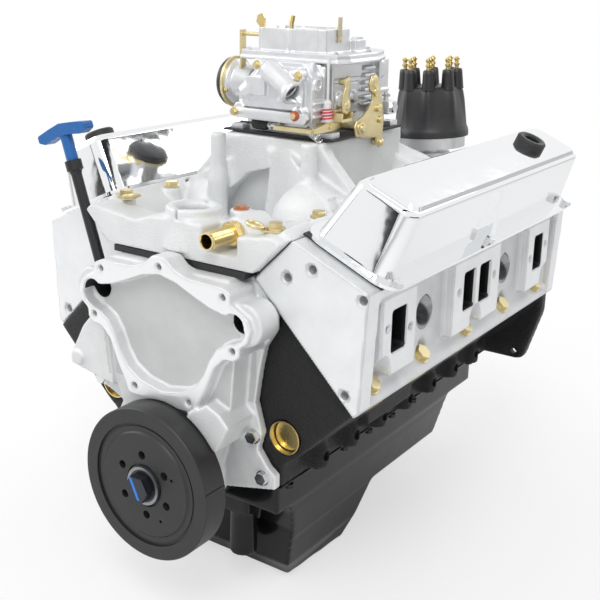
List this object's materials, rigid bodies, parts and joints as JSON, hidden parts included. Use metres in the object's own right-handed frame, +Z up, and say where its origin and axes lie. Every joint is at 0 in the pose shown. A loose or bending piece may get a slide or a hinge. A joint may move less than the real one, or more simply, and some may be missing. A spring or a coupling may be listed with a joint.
{
  "type": "v8 engine",
  "caption": "Complete 90 degree V8 petrol engine with black iron block, aluminium heads and intake, polished covers, carburettor, distributor and vibration damper",
  "frame": {"origin": "crankshaft axis at the rear face of the crank flange", "axes": "+Z up, -Y the engine's front along the crankshaft, +X the left bank as the driver sees it"},
  "size_m": [0.525, 0.6704, 0.689],
  "materials": {
    "block_iron": "textured black paint on cast iron",
    "head_aluminium": "as cast and machined",
    "intake_aluminium": "matte as cast",
    "cover_polish": "polished",
    "timing_aluminium": "cast, with a machined pump face",
    "pan_black": "gloss black",
    "damper_black": "satin black",
    "dark_steel": "dark oxide",
    "steel": "machined",
    "gold_zinc": "yellow zinc",
    "bright_zinc": "bright zinc",
    "brass": "plain",
    "copper": "copper-coloured",
    "black_rubber": "matte",
    "gasket_grey": "fibre and rubber",
    "black_plastic": "semi-gloss",
    "blue_plastic": "satin",
    "carb_zinc": "bright cast",
    "bearing_metal": "plain"
  },
  "bodies": {
    "engine_body": {"engine_block": "block_iron", "freeze_plugs": "brass", "main_bearing_caps": "block_iron", "main_cap_bolts": "steel", "main_bearings": "bearing_metal", "pistons": "intake_aluminium", "piston_rings": "steel", "wrist_pins": "steel", "connecting_rods": "steel", "rod_caps": "steel", "lifters": "steel", "timing_chain": "steel", "cylinder_head_left": "head_aluminium", "cylinder_head_right": "head_aluminium", "intake_valves": "steel", "exhaust_valves": "steel", "valve_springs": "steel", "valve_retainers": "steel", "rocker_arms": "steel", "rocker_shafts": "steel", "pushrods": "steel", "head_bolts": "gold_zinc", "valve_cover_left": "cover_polish", "valve_cover_right": "cover_polish", "valve_cover_bolts": "bright_zinc", "valve_cover_grommets": "black_rubber", "intake_manifold": "intake_aluminium", "intake_bolts": "gold_zinc", "lifting_rings": "gold_zinc", "hose_nipple": "brass", "pipe_plug": "copper", "timing_cover": "timing_aluminium", "timing_cover_bolts": "bright_zinc", "oil_pan": "pan_black", "oil_pan_bolts": "dark_steel", "drain_plug": "bright_zinc", "oil_pump": "steel", "gasket_set": "gasket_grey", "distributor_housing": "timing_aluminium", "distributor_cap": "black_plastic", "dipstick_tube": "black_plastic", "throttle_body": "carb_zinc", "carburettor_body": "carb_zinc", "fuel_bowls": "carb_zinc", "choke_housing": "black_plastic"},
    "crank_body": {"crankshaft": "steel", "crank_sprocket": "steel", "damper_hub": "damper_black", "damper_rubber": "black_rubber", "damper_ring": "damper_black", "damper_bolt": "dark_steel"},
    "cam_body": {"camshaft": "steel", "cam_sprocket": "steel", "cam_bolt": "steel"},
    "distributor_rotor": {"distributor_shaft": "steel"},
    "dipstick_body": {"dipstick": "blue_plastic"},
    "primary_throttle_body": {"primary_throttle": "gold_zinc"},
    "secondary_throttle_body": {"secondary_throttle": "gold_zinc"},
    "choke_body": {"choke_plate": "gold_zinc"},
    "pump_lever_body": {"pump_lever": "gold_zinc"}
  },
  "joints": [
    {"name": "crank_turn", "type": "hinge", "parent": "engine_body", "child": "crank_body", "pos_m": [0, 0, 0], "axis": [0, 1, 0], "continuous": true, "deforming": ["connecting_rods", "rod_caps", "timing_chain"]},
    {"name": "cam_turn", "type": "hinge", "parent": "engine_body", "child": "cam_body", "pos_m": [0, 0, 0.161], "axis": [0, 1, 0], "continuous": true},
    {"name": "distributor_turn", "type": "hinge", "parent": "engine_body", "child": "distributor_rotor", "pos_m": [0.051, -0.054, 0], "axis": [-0.057, 0, 0.9984], "continuous": true},
    {"name": "dipstick_slide", "type": "slide", "parent": "engine_body", "child": "dipstick_body", "axis": [-0.3173, 0, 0.9483], "range_m": [0, 0.14]},
    {"name": "throttle_turn", "type": "hinge", "parent": "engine_body", "child": "primary_throttle_body", "pos_m": [0, -0.346, 0.377], "axis": [1, 0, 0], "range_deg": [0, 75], "stiffness_Nm_per_rad": 0.3, "springref_deg": -17.19},
    {"name": "secondary_turn", "type": "hinge", "parent": "engine_body", "child": "secondary_throttle_body", "pos_m": [0, -0.292, 0.377], "axis": [1, 0, 0], "range_deg": [0, 75]},
    {"name": "choke_turn", "type": "hinge", "parent": "engine_body", "child": "choke_body", "pos_m": [0, -0.35, 0.483], "axis": [1, 0, 0], "range_deg": [0, 80]},
    {"name": "pump_lever_turn", "type": "hinge", "parent": "engine_body", "child": "pump_lever_body", "pos_m": [0.06, -0.391, 0.3825], "axis": [-1, 0, 0], "range_deg": [0, 6]}
  ],
  "couplings": [
    {"joint": "cam_turn", "follows": "crank_turn", "ratio": 0.5},
    {"joint": "distributor_turn", "follows": "crank_turn", "ratio": 0.5},
    {"joint": "secondary_turn", "follows": "throttle_turn", "ratio": 1},
    {"joint": "pump_lever_turn", "follows": "throttle_turn", "ratio": 0.08}
  ]
}
